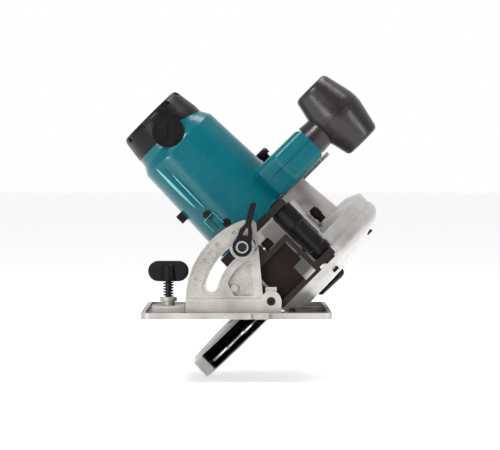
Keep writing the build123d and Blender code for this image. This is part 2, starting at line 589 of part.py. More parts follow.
def lower_guard():
    left, right, rim = GUARD_X0, GUARD_X1, GUARD_R
    profile = [(-9, 26), (-9, 60), (left, 68), (left, rim - 3.5), (left + 3, rim), (right, rim), (right, 31),
               (right - 1.5, 31), (right - 1.5, rim - 1.6), (left + 3.6, rim - 1.6), (left + 1.5, rim - 4),
               (left + 1.5, 68.6), (-7.5, 60.6), (-7.5, 26)]
    shell = lathe_x(profile, BLADE_Y, BLADE_Z)
    at = (BLADE_Y, BLADE_Z)
    keep = plate_x(wedge(*at, 200, GUARD_FRONT, GUARD_REAR), -20, 20)
    keep += rod_x(39, -20, 20, *at)
    shell &= keep
    # The rim is open from the leading edge down, so that the blade can enter the work
    shell -= plate_x(wedge(*at, 200, GUARD_FRONT - 2, SLIT_END), left + 2.5, right - 1.5) - rod_x(108, -20, 20, *at)
    # Fold at the leading edge
    edge = polar(*at, 92, GUARD_FRONT + 1.2)
    shell += Pos(left + 1.5, *edge) * Rot(GUARD_FRONT, 0, 0) * Box(3.0, 40, 3.0)
    hub = lathe_x([(-12, HUB_BORE), (-12, HUB_R), (-7.5, HUB_R), (-7.5, HUB_BORE)], *at)
    shell = shell + hub - rod_x(HUB_BORE, -20, -7, *at)
    arm = Pos(*at) * Rot(0, 0, LEVER_ANGLE) * Pos(48, 0) * SlotOverall(38, 12)
    return shell + plate_x(arm, right - 1.5, right + 0.5)


def guard_lever():
    """Black retracting lever: a stem out of the guard's arm and a domed thumb paddle."""
    centre = polar(BLADE_Y, BLADE_Z, LEVER_R, LEVER_ANGLE)
    stem = rod_x(4.0, GUARD_X1 + 0.5, 29, *centre)
    paddle = plate_x(Pos(*centre) * Rot(0, 0, LEVER_ANGLE + 90) * SlotOverall(44, 15), 27.6, 35.6)
    paddle = fillet(paddle.edges().group_by(Axis.X)[-1], 5.5)
    return fillet((stem + paddle).edges().group_by(Axis.X)[0], 0.6)


def retaining_ring():
    sketch = (Circle(26.4) - Circle(23.0)) - Pos(0, 26) * Rectangle(4, 12)
    return plate_x(Pos(BLADE_Y, BLADE_Z) * sketch, -7.3, -6.2)


def bearing_box():
    """Flanged sleeve that holds the spindle's outer bearing and carries the lower guard."""
    steps = [(-24, 17.5), (-24, 40), (-20, 40), (-20, 24), (-7.3, 24), (-7.3, 23.0), (-6.2, 23.0), (-6.2, 24),
             (-5.9, 24), (-5.9, 14), (-8.6, 14), (-8.6, 17.5)]
    return lathe_x(steps, BLADE_Y, BLADE_Z)


def guard_spring():
    """Torsion spring round the sleeve, which closes the lower guard."""
    coil = Rot(0, 90, 0) * helix_z(0, 0, 0, 4.0, 26.6, 1.1, 3)
    return Pos(-16.85, BLADE_Y, BLADE_Z) * coil


def bearing(x0, x1, bore, outer, y, z):
    """Shielded ball bearing, drawn as a stepped ring."""
    mid = (bore + outer) / 2
    steps = [(x0, bore), (x0, mid - 2), (x0 + 0.5, mid - 2), (x0 + 0.5, mid + 2), (x0, mid + 2), (x0, outer),
             (x1, outer), (x1, mid + 2), (x1 - 0.5, mid + 2), (x1 - 0.5, mid - 2), (x1, mid - 2), (x1, bore)]
    return lathe_x(steps, y, z)


def hinge_lug():
    """Cast arm from the blade case to the depth hinge."""
    arm = plate_x(Polygon((HINGE_Y, 63), (-92, 43), (-60, 51), (-60, 91), (-100, 87), (HINGE_Y, 84.4), align=None),
                  -60, -14)
    window = plate_x(Polygon((-104, 61), (-92, 55), (-70, 61), (-70, 82), (-98, 79), align=None), -56, -26)
    arm = arm - window
    return arm - rod_x(LUG_GAP_R, -90, 20, HINGE_Y, LUG_Z)


LUG_GAP_R = 12.4


def blade_case():
    steps = [(-20, 24.2), (-20, 112), (-14, CASE_R), (0, CASE_R), (0, CASE_R - 2.5), (-13.2, CASE_R - 2.5),
             (-17.5, 111), (-17.5, 24.2)]
    shell = lathe_x(steps, BLADE_Y, BLADE_Z)
    shell &= block(-30, 30, -140, 160, CASE_BOTTOM, 200)
    shell += hinge_lug() & block(-60, -19, -140, 0, 0, 120)
    web = plate_x(Polygon((-118, 63), (-98, 63), (-98, 87), (-112, 87), align=None), -20, -2)
    ring_inside = rod_x(CASE_R - 2.5, -21, 1, BLADE_Y, BLADE_Z)
    shell += web - ring_inside - rod_x(LUG_GAP_R, -90, 20, HINGE_Y, LUG_Z)
    shell -= rod_y(THROAT_R, 60, 140, SPOUT_X, SPOUT_Z)
    return shell + rod_x(6.2, -23, -17.5, *CASE_BOLT)


def case_cover():
    outer = [(0, COVER_R), (6.5, COVER_R), (10.5, 124.5), (16, 118), (22.3, 96), (27, 70), (27, COVER_HOLE_R)]
    inner = [(13, COVER_HOLE_R), (13, COVER_HOLE_R + 2.5), (24.4, COVER_HOLE_R + 2.5), (24.4, 69.5), (19.9, 94.8),
             (14.1, 116.2), (9.2, 122.2), (6, 124), (0, 124)]
    shell = lathe_x(outer + inner, BLADE_Y, BLADE_Z)
    keep = Polygon((-1, CASE_BOTTOM), (4.5, CASE_BOTTOM), (28, 28.9), (28, 200), (-1, 200), align=None)
    shell &= plate_y(keep, -150, 160)
    for screw in cover_screws():
        shell -= screw
    # Lugs at the front lower corner, where the cover is screwed to the case
    for y0, z0, x0, x1 in ((-112, 20, 6.5, 17), (-106, 34, 6.5, 20)):
        shell += block(x0, x1, y0, y0 + 10, z0, z0 + 11) - rod_x(124, -30, 30, BLADE_Y, BLADE_Z)
    return shell


COVER_SCREWS = [150.0, 95.0, 40.0]


def cover_screws():
    return [rod_x(3.4, 20.0, 22.4, *polar(BLADE_Y, BLADE_Z, 104, a)) for a in COVER_SCREWS]


def hinge_barrel():
    """Black sleeve that turns on the hinge pin: three steps, as the outside of the bush carrier."""
    bore = HINGE_R + RUNNING
    steps = [(-57.9, bore), (-57.9, 10.8), (-57, 11.6), (-36, 11.6), (-34.5, 9.8), (-6, 9.8), (-5, 11.2),
             (2.2, 11.2), (3.2, 10.4), (3.2, bore)]
    return lathe_x(steps, HINGE_Y, HINGE_Z)


def gear_housing():
    at0, at1 = Pos(MOTOR_Y + 3, 53.5), Pos(MOTOR_Y + 4, 54.5)
    box = loft([Plane.YZ.offset(HOUSING_X1) * (at0 * RectangleRounded(92, 119, 30)),
                Plane.YZ.offset(-20) * (at1 * RectangleRounded(104, 125, 32))])
    chamber = rod_x(25.8, -64, -20, BLADE_Y, BLADE_Z) + rod_x(13, -64, -24, MOTOR_Y, MOTOR_Z)
    chamber -= rod_x(17, -64, -55.5, BLADE_Y, BLADE_Z) - rod_x(13, -65, -55, BLADE_Y, BLADE_Z)
    box += rod_x(CAVITY_R - 0.02, -84, HOUSING_X1, MOTOR_Y, MOTOR_Z)
    housing = box - chamber - rod_x(40, -24, -19, BLADE_Y, BLADE_Z)
    hollow = loft([Plane.YZ.offset(-64) * (Pos(MOTOR_Y + 3, 84) * RectangleRounded(82, 46, 14)),
                   Plane.YZ.offset(-24) * (Pos(MOTOR_Y + 4, 85) * RectangleRounded(92, 50, 16))])
    housing -= hollow
    housing -= rod_x(10, -85, -60, MOTOR_Y, MOTOR_Z) + rod_x(13, -80, -72, MOTOR_Y, MOTOR_Z)
    housing -= rod_y(7.5 + 0.02, -80, LOCK_Y + 13, LOCK_X, LOCK_Z) + rod_y(3.1, -60, -10, LOCK_X, LOCK_Z)
    return housing & block(-90, -19, -100, 100, HOUSING_BOTTOM, 130)


LOCK_X, LOCK_Y, LOCK_Z = -42.0, MOTOR_Y - 45.5, 30.0


def shaft_lock_button():
    """Spring-loaded spindle lock: a stepped black button with a steel pin behind it."""
    steps = [(-11, 0), (-11, 5.0), (-10, 6.0), (0, 6.0), (0, 7.4), (6.5, 7.4), (6.5, 0)]
    return Pos(0, LOCK_Y, 0) * lathe_y(steps, LOCK_X, LOCK_Z)


def shaft_lock_pin():
    return rod_y(3.0, LOCK_Y + 6.5, -24, LOCK_X, LOCK_Z)


def case_bolt():
    """Black-capped bolt that ties the gear housing to the blade case, in front of the housing."""
    cap = rod_x(5.2, -37, -29, *CASE_BOLT) + rod_x(4.0, -39.5, -37, *CASE_BOLT)
    return cap + hex_x(8.0, -29, -23, *CASE_BOLT)


CASE_BOLT = (-66.0, 97.0)


def dust_spout():
    """Black chip spout on the rear of the case, with a narrow throat and a wide mouth."""
    outer = lathe_y([(90, 0), (90, 13.5), (122, 13.5), (128, 15.8), (SPOUT_END - 1, 15.8), (SPOUT_END, 15.0),
                     (SPOUT_END, 0)], SPOUT_X, SPOUT_Z)
    outer -= rod_y(SPOUT_R, 127, SPOUT_END + 1, SPOUT_X, SPOUT_Z) + rod_y(THROAT_R, 80, 130, SPOUT_X, SPOUT_Z)
    return outer - rod_x(COVER_R + 0.3, -60, 60, BLADE_Y, BLADE_Z)


SPOUT_X, SPOUT_Z, SPOUT_END, SPOUT_R, THROAT_R = -9.0, 100.0, 162.0, 13.0, 7.5


def make_case():
    save_body("blade_case", blade_case())
    save_body("case_cover", case_cover())
    save_tilted("hinge_barrel", hinge_barrel())
    save_body("gear_housing", gear_housing())
    save_body("bearing_box", bearing_box())
    save_body("retaining_ring", retaining_ring())
    save_body("guard_spring", guard_spring())
    save_body("lower_guard", lower_guard())
    save_body("guard_lever", guard_lever())
    save_body("shaft_lock", shaft_lock_button(), shaft_lock_pin())
    save_body("case_bolt", case_bolt())
    save_body("dust_spout", dust_spout())
    save_body("bearings", bearing(-64, -56, 5 + RUNNING, 13, BLADE_Y, BLADE_Z),
              bearing(-21.5, -10.5, SPINDLE_R + RUNNING, 17.5, BLADE_Y, BLADE_Z),
              bearing(-80, -72, 5 + RUNNING, 13, MOTOR_Y, MOTOR_Z),
              bearing(-220, -213, 4 + RUNNING, 11, MOTOR_Y, MOTOR_Z))


# ---------------------------------------------------------------- motor housing

def housing_envelope():
    at = Pos(MOTOR_Y, MOTOR_Z)
    faces = [Plane.YZ.offset(x) * (at * RectangleRounded(w, w, r)) for x, w, r in HOUSING_SECTIONS]
    return loft(faces, ruled=True)


def seam_side(motor_side):
    """Everything on one side of the seam between the housing and its end cap; the seam leans near the top."""
    far = 40.0 if motor_side else -260.0
    seam = [(SEAM_X, -60), (SEAM_X, MOTOR_Z + 18), (SEAM_TOP_X, MOTOR_Z + 38), (SEAM_TOP_X, 160)]
    return plate_y(Polygon((far, -60), *seam, (far, 160), align=None), -120, 120)


def around_brush(solids):
    """Turn a front brush part into the front and the rear one, on the leaning brush axis."""
    placed = []
    for side in (0, 180):
        turn = Pos(0, MOTOR_Y, MOTOR_Z) * Rot(BRUSH_LEAN + side, 0, 0)
        placed += [turn * s for s in solids]
    return placed


def motor_housing():
    shell = housing_envelope() & seam_side(True)
    shell -= rod_x(CAVITY_R, -182, HOUSING_X1 + 1, MOTOR_Y, MOTOR_Z)
    shell -= rod_x(36.5, -200, -181, MOTOR_Y, MOTOR_Z)
    for ring in around_brush([rod_y(BRUSH_RING_R + 0.02, -60, -20, BRUSH_X, 0)]):
        shell -= ring
    # Air outlets beside the fan, low at the rear
    for turn in (204, 218, 232):
        slot = Box(11, 3.2, 30)
        shell -= Pos(-92, MOTOR_Y, MOTOR_Z) * Rot(turn, 0, 0) * Pos(0, 0, 46) * slot
    for x, z in FRONT_SCREWS:
        shell -= rod_y(4.6, -62, FRONT_SCREW_FACE, x, z)
    return shell


FRONT_SCREWS = [(-110.3, 17.1), (-90.2, 25.9)]
FRONT_SCREW_FACE = MOTOR_Y - 46.0


def front_screws():
    """Recessed cross-head screws in the front of the housing."""
    screws = []
    for x, z in FRONT_SCREWS:
        head = rod_y(4.2, FRONT_SCREW_FACE - 2.6, FRONT_SCREW_FACE, x, z)
        for w, h in ((5.0, 1.1), (1.1, 5.0)):
            head -= block(x - w / 2, x + w / 2, FRONT_SCREW_FACE - 3, FRONT_SCREW_FACE - 1.4, z - h / 2, z + h / 2)
        screws.append(head)
    return screws


def handle_screws():
    """Screws in the right half of the handle: countersunk into the neck, the grip and the tail."""
    screws = []
    for y, z in HANDLE_SCREWS:
        head = rod_x(3.8, HANDLE_X1 - 3.0, HANDLE_X1 - 0.6, y, z) + rod_x(2.0, HANDLE_MID - 8, HANDLE_X1 - 3.0, y, z)
        screws.append(head - block(HANDLE_X1 - 1.6, HANDLE_X1, y - 2.6, y + 2.6, z - 0.5, z + 0.5))
    return screws


HANDLE_SCREWS = [(-56.0, 118.0), (16.0, 119.0), (108.0, 82.0), (168.0, 34.0)]


def motor_cap():
    outer = [(-188, CAP_R), (-199, CAP_R), (-219, CAP_END_R + 0.7), (-222.5, CAP_END_R - 0.6), (CAP_X0, CAP_END_R - 2.6)]
    inner = [(CAP_X0 + CAP_WALL, 0), (CAP_X0 + CAP_WALL, CAP_END_R - 3.8), (-188, CAP_R - CAP_WALL)]
    cap = lathe_x([(CAP_X0, 0)] + inner + outer, MOTOR_Y, MOTOR_Z)
    for k in range(8):
        notch = Pos(-221.5, MOTOR_Y, MOTOR_Z) * Rot(45 * k + 12, 0, 0) * Pos(0, 0, CAP_END_R) * Box(7, 9.5, 3.4)
        cap -= notch
    for k in range(-4, 5):
        half = math.sqrt(29.0**2 - (5.6 * k) ** 2)
        slit = block(CAP_X0 - 1, CAP_X0 + 5, MOTOR_Y - half, MOTOR_Y + half, MOTOR_Z + 5.6 * k - 1.3,
                     MOTOR_Z + 5.6 * k + 1.3)
        cap -= slit - rod_x(14.5, -230, -200, MOTOR_Y, MOTOR_Z)
    seat = rod_x(14, CAP_X0 + 1, -212, MOTOR_Y, MOTOR_Z) - rod_x(11, -220, -211, MOTOR_Y, MOTOR_Z)
    cap += seat
    cap &= seam_side(False)
    rings = around_brush([rod_y(BRUSH_RING_R, -43.5, -24, BRUSH_X, 0)])
    bores = around_brush([rod_y(BRUSH_CAP_R + 0.02, -45, -39, BRUSH_X, 0), rod_y(8.0, -40, -20, BRUSH_X, 0)])
    for ring in rings:
        cap += ring
    for bore in bores:
        cap -= bore
    return cap


def brush_cap():
    cap = rod_y(BRUSH_CAP_R, -42.6, -39, BRUSH_X, 0) + rod_y(6.2, -39, -36, BRUSH_X, 0)
    return cap - Pos(BRUSH_X, -42.6, 0) * Rot(0, BEVEL, 0) * Box(17, 2.8, 2.6)


def brush_holder():
    """Brass sleeve for one carbon brush, with its spring."""
    tube = rod_y(8.0, -36.0, -18.5, BRUSH_X, 0)
    return tube - block(BRUSH_X - 5.5, BRUSH_X + 5.5, -37, -18, -3.6, 3.6)


def brush_spring():
    coil = helix_z(0, 0, 0, 7.0, 2.5, 0.7, 5)
    return Pos(BRUSH_X, -35.4, 0) * Rot(-90, 0, 0) * coil


def carbon_brush():
    return block(BRUSH_X - 5.3, BRUSH_X + 5.3, -28, -16.1, -3.4, 3.4) - rod_x(16.1, -220, -180, 0, 0)


def stator_core():
    """Laminated field core with two pole shoes."""
    sketch = Circle(CAVITY_R - RUNNING) - Circle(36)
    pole = Pos(0, 34) * Rectangle(26, 9) + (Circle(36.5) & Pos(0, 31) * Rectangle(50, 12)) - Circle(STATOR_BORE)
    sketch += pole + Rot(0, 0, 180) * pole
    return plate_x(Pos(MOTOR_Y, MOTOR_Z) * Rot(0, 0, 90) * (sketch - Circle(STATOR_BORE)), -150, -106)


def field_coils():
    """Two copper field coils, drawn as a band of end turns at each end of the core."""
    band = Pos(MOTOR_Y, MOTOR_Z) * (Circle(39) - Circle(29))
    coils = [plate_x(band, -160, -150), plate_x(band, -106, -98.5)]
    return [fillet(c.edges().filter_by(GeomType.CIRCLE), 2.6) for c in coils]


def wrench_clip():
    """Springy clip for the blade wrench, under the motor housing."""
    clip = block(-131, -121, MOTOR_Y - 20, MOTOR_Y - 4, -7.4, 2) - rod_x(2.8, -132, -120, MOTOR_Y - 12, -4.2)
    clip -= block(-132, -120, MOTOR_Y - 14, MOTOR_Y - 10, -8, -4.2)
    return clip - housing_envelope()


# ---------------------------------------------------------------- handles

def softened(sketch, r):
    """Round a sketch's inward and outward corners."""
    return offset(offset(offset(offset(sketch, r), -r), -r), r)


def handle_outline():
    outline = Polygon((NECK_Y0, NECK_TOP + 12), (NECK_Y1, NECK_TOP + 12), (-31, 137), (10, 133), (60, 119), (120, 96),
                      (162, 66), (186, 38), (186, 3), (30, 3), (0, 60), (-50, 80), (-60, 84), (NECK_Y0, 106),
                      align=None)
    below_collar = Polygon((-200, -50), (250, -50), (250, NECK_TOP), (-200, NECK_TOP), align=None)
    return softened(outline, 8) & below_collar


def finger_opening():
    return softened(Polygon((24, 101), (60, 86), (115, 64), (144, 44), (150, 36), (142, 28), (56, 28), (50, 40),
                            (48, 64), align=None), 8)


def trigger_frame():
    """Places a sketch drawn along and square to the underside of the grip."""
    return Pos(TRIGGER_Y, TRIGGER_Z) * Rot(0, 0, TRIGGER_SLOPE)


def handle_half(left):
    x0, x1 = (HANDLE_X0, HANDLE_MID) if left else (HANDLE_MID, HANDLE_X1)
    outline = handle_outline() - finger_opening()
    half = plate_x(outline, x0, x1)
    outside = half.faces().sort_by(Axis.X)[0 if left else -1]
    half = fillet(outside.edges(), HANDLE_ROUND)
    cavity = offset(handle_outline(), -HANDLE_WALL) - offset(finger_opening(), HANDLE_WALL)
    if left:
        half -= plate_x(cavity, x0 + HANDLE_WALL, x1 + 1)
    else:
        half -= plate_x(cavity, x0 - 1, x1 - HANDLE_WALL)
    half -= housing_envelope()
    mouth = trigger_frame() * Rectangle(42, 16)
    half -= plate_x(mouth, HANDLE_MID - 8.4, HANDLE_MID + 8.4)
    half -= rod_y(9.05, 180, 190, HANDLE_MID, GLAND_Z)
    if left:
        return half - rod_x(5.2, x0 - 1, x0 + 6, LOCK_OFF_Y, LOCK_OFF_Z)
    half += rod_x(9.0, x0 + 12, x1 + 1.7, *DEPTH_BOLT)
    half -= rod_x(4.05, x0, x1 + 3, *DEPTH_BOLT)
    for y, z in HANDLE_SCREWS:
        half += rod_x(5.0, x0, x1 - HANDLE_WALL + 0.2, y, z)
    for screw in handle_screws():
        half -= screw
    for y, z in HANDLE_SCREWS:
        half -= rod_x(3.8, x1 - 1, x1 + 1, y, z)
    return half


DEPTH_BOLT = polar(HINGE_Y, LUG_Z, GUIDE_R, DEPTH_LOW)


def front_knob(left):
    """One half of the front knob, hollow, with its half of the collar."""
    side = -1 if left else 1
    outer = [(-KNOB_HALF, 0), (-KNOB_HALF, KNOB_END_R - 3), (-KNOB_HALF + 1.2, KNOB_END_R - 0.6),
             (-KNOB_HALF + 3.5, KNOB_END_R + 1.0), (-14, KNOB_R - 2.0), (-6, KNOB_R - 0.3), (0, KNOB_R),
             (6, KNOB_R - 0.3), (14, KNOB_R - 2.0), (KNOB_HALF - 3.5, KNOB_END_R + 1.0),
             (KNOB_HALF - 1.2, KNOB_END_R - 0.6), (KNOB_HALF, KNOB_END_R - 3), (KNOB_HALF, 0)]
    inner = [(-KNOB_HALF + 4, 0), (-KNOB_HALF + 4, KNOB_END_R - 4), (0, KNOB_R - 4), (KNOB_HALF - 4, KNOB_END_R - 4),
             (KNOB_HALF - 4, 0)]
    y = (NECK_Y0 + NECK_Y1) / 2
    barrel = Pos(KNOB_X, 0, 0) * lathe_x(outer, y, KNOB_Z)
    collar = lathe_z([(NECK_TOP, 0), (NECK_TOP, 17.4), (NECK_TOP + 9, 16.6), (NECK_TOP + 20, 16.6), (NECK_TOP + 20, 0)],
                     KNOB_X + 0.5, y)
    barrel = barrel + collar - Pos(KNOB_X, 0, 0) * lathe_x(inner, y, KNOB_Z)
    keep = block(KNOB_X, KNOB_X + 60, -120, 20, 100, 260) if side > 0 else block(KNOB_X - 60, KNOB_X, -120, 20, 100, 260)
    return barrel & keep


def cord_gland():
    steps = [(177, 4.2), (177, 10.2), (182, 10.2), (182, 9.0), (188, 9.0), (188, 8.4), (GLAND_END, 6.2),
             (GLAND_END, 4.2)]
    gland = lathe_y(steps, HANDLE_MID, GLAND_Z) + rod_y(4.5, 177, 180, HANDLE_MID, GLAND_Z)
    for k in range(5):
        y = 191.0 + 4 * k
        gland -= lathe_y([(y, 5.6), (y, 10), (y + 1.6, 10), (y + 1.6, 5.6)], HANDLE_MID, GLAND_Z)
    return gland


def switch_body():
    body = trigger_frame() * Pos(0, 21.4) * Rectangle(34, 10)
    button = trigger_frame() * Pos(0, 15.7) * Rectangle(8, 1.4)
    return plate_x(body, HANDLE_MID - 9, HANDLE_MID + 9) + plate_x(button, HANDLE_MID - 4, HANDLE_MID + 4)


def trigger():
    profile = Polygon((-20, 8.5), (-20, -6), (-16, -11.5), (0, -9.5), (12, -11), (20, -8), (20, 8.5), align=None)
    body = plate_x(trigger_frame() * softened(profile, 2.5), HANDLE_MID - 8, HANDLE_MID + 8)
    return body - plate_x(trigger_frame() * (Pos(0, 4) * Rectangle(30, 12)), HANDLE_MID - 6, HANDLE_MID + 6)


def lock_button():
    head = rod_x(8, -117.5, -110.5, LOCK_OFF_Y, LOCK_OFF_Z)
    head = fillet(head.edges().group_by(Axis.X)[0], 3)
    return head + rod_x(5, -110.5, -102.6, LOCK_OFF_Y, LOCK_OFF_Z)


def depth_bolt():
    y, z = DEPTH_BOLT
    return hex_x(10, -82, -78, y, z) + rod_x(4, -78, -50, y, z)


def depth_lever():
    arm = Pos(*DEPTH_BOLT) * Rot(0, 0, 60) * (Circle(9) + Pos(24, 0) * SlotOverall(52, 9))
    x0 = GUIDE_X1 - BODY_X + 0.3
    lever = plate_x(arm, x0, -57) + rod_x(8, -57, -53, *DEPTH_BOLT)
    grip = plate_x(Pos(*DEPTH_BOLT) * Rot(0, 0, 60) * (Pos(38, 0) * SlotOverall(24, 11)), x0, -54)
    return lever + grip - rod_x(4 + RUNNING, -70, -40, *DEPTH_BOLT)


def make_motor():
    save_body("motor_housing", motor_housing())
    save_body("motor_cap", motor_cap())
    save_body("case_screws", *cover_screws(), *front_screws(), *handle_screws())
    save_body("brush_caps", *around_brush([brush_cap()]))
    save_body("brush_holders", *around_brush([brush_holder(), brush_spring()]))
    save_body("carbon_brushes", *around_brush([carbon_brush()]))
    save_body("stator_core", stator_core())
    save_body("field_coils", *field_coils())
    save_body("wrench_clip", wrench_clip())


def make_handles():
    save_body("handle_left", handle_half(True))
    save_body("handle_right", handle_half(False))
    save_body("front_knob", front_knob(True), front_knob(False))
    save_body("cord_gland", cord_gland())
    save_body("switch_body", switch_body())
    save_body("trigger", trigger())
    save_body("lock_button", lock_button())
    save_body("depth_bolt", depth_bolt())
    save_body("depth_lever", depth_lever())


if __name__ == "__main__":
    os.makedirs("parts", exist_ok=True)
    make_base()
    make_tilt_frame()
    make_drive()
    make_case()
    make_motor()
    make_handles()
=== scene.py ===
"""Looks of the circular saw: materials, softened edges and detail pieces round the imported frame."""

import json
import math

import bmesh
import bpy
from mathutils import Matrix, Vector


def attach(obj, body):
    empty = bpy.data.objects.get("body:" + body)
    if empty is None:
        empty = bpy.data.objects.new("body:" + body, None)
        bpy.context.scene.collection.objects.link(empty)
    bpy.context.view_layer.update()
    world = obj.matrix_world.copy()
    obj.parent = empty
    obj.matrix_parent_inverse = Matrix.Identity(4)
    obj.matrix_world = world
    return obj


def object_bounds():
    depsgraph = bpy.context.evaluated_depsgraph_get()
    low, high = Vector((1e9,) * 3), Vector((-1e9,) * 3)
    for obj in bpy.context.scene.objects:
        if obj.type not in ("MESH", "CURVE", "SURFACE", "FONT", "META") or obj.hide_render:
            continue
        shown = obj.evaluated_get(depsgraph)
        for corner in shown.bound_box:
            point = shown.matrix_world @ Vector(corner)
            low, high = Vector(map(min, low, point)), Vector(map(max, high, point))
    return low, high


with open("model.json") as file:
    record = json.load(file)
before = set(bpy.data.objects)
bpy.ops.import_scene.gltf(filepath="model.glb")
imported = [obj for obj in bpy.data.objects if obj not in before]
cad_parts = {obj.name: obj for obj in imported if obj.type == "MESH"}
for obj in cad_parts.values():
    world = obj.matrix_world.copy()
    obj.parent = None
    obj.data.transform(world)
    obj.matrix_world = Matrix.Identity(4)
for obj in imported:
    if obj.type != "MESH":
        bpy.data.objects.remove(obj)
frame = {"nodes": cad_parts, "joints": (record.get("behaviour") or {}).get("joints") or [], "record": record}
cad_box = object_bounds()
nodes = frame["nodes"]

MM = 0.001

# ---------------------------------------------------------------- places, read from the frame


def joint(name):
    return next(j for j in frame["joints"] if j["name"] == name)


def point(name):
    return Vector(joint(name)["pos_m"])


PIVOT = point("bevel_tilt")
SIDE = Vector(joint("blade_spin")["axis"])   # across the saw, positive towards the blade side
UP = SIDE.cross(Vector((0, 1, 0)))           # up along the tilted blade
if UP.z < 0:
    UP = -UP
# Saw frame: x across, y back, z up along the blade, origin on the bevel axis
TILTED = Matrix.Translation((PIVOT.x, 0, PIVOT.z)) @ Matrix((
    (SIDE.x, 0, UP.x, 0), (SIDE.y, 1, UP.y, 0), (SIDE.z, 0, UP.z, 0), (0, 0, 0, 1)))


# ---------------------------------------------------------------- materials

def new_material(name):
    material = bpy.data.materials.new(name)
    material.use_nodes = True
    tree = material.node_tree
    shader = tree.nodes["Principled BSDF"]
    place = tree.nodes.new("ShaderNodeTexCoord")
    return material, tree, shader, place.outputs["Object"]


def noise(tree, place, scale, detail, stretch=None):
    """A noise texture; stretch squeezes it along axes, for brushed or turned metal."""
    if stretch:
        mapping = tree.nodes.new("ShaderNodeMapping")
        mapping.inputs["Scale"].default_value = stretch
        tree.links.new(place, mapping.inputs["Vector"])
        place = mapping.outputs["Vector"]
    texture = tree.nodes.new("ShaderNodeTexNoise")
    texture.inputs["Scale"].default_value = scale
    texture.inputs["Detail"].default_value = detail
    tree.links.new(place, texture.inputs["Vector"])
    return texture.outputs["Fac"]


def spread(tree, value, low, high, from_low=0.3, from_high=0.7):
    ranged = tree.nodes.new("ShaderNodeMapRange")
    limits = (("From Min", from_low), ("From Max", from_high), ("To Min", low), ("To Max", high))
    for socket, number in limits:
        ranged.inputs[socket].default_value = number
    tree.links.new(value, ranged.inputs["Value"])
    return ranged.outputs["Result"]


def blended_colour(tree, factor, dark, light):
    mix = tree.nodes.new("ShaderNodeMix")
    mix.data_type = "RGBA"
    mix.inputs["A"].default_value = (*dark, 1)
    mix.inputs["B"].default_value = (*light, 1)
    tree.links.new(factor, mix.inputs["Factor"])
    return mix.outputs["Result"]


def bump(tree, shader, height, distance):
    node = tree.nodes.new("ShaderNodeBump")
    node.inputs["Distance"].default_value = distance
    tree.links.new(height, node.inputs["Height"])
    tree.links.new(node.outputs["Normal"], shader.inputs["Normal"])


BLOTCH_SCALE, BLOTCH_DETAIL = 38.0, 4   # slow drift between the two tones
SMEAR_SCALE, SMEAR_DETAIL = 160, 5      # handling marks, in the roughness
GRAIN_DETAIL = 2


def surface(name, dark, light, rough, metallic=0.0, grain=900.0, grain_depth=0.00006, stretch=None,
            specular=0.5):
    """Two tones that drift over the part, roughness that varies a little, and a fine grain in the surface.

    rough is the span of the roughness, grain the scale of the grain, and grain_depth its depth in metres.
    """
    material, tree, shader, place = new_material(name)
    drift = spread(tree, noise(tree, place, BLOTCH_SCALE, BLOTCH_DETAIL), 0, 1)
    tree.links.new(blended_colour(tree, drift, dark, light), shader.inputs["Base Color"])
    smear = spread(tree, noise(tree, place, SMEAR_SCALE, SMEAR_DETAIL, stretch), *rough)
    tree.links.new(smear, shader.inputs["Roughness"])
    shader.inputs["Metallic"].default_value = metallic
    shader.inputs["Specular IOR Level"].default_value = specular
    bump(tree, shader, noise(tree, place, grain, GRAIN_DETAIL, stretch), grain_depth)
    return material


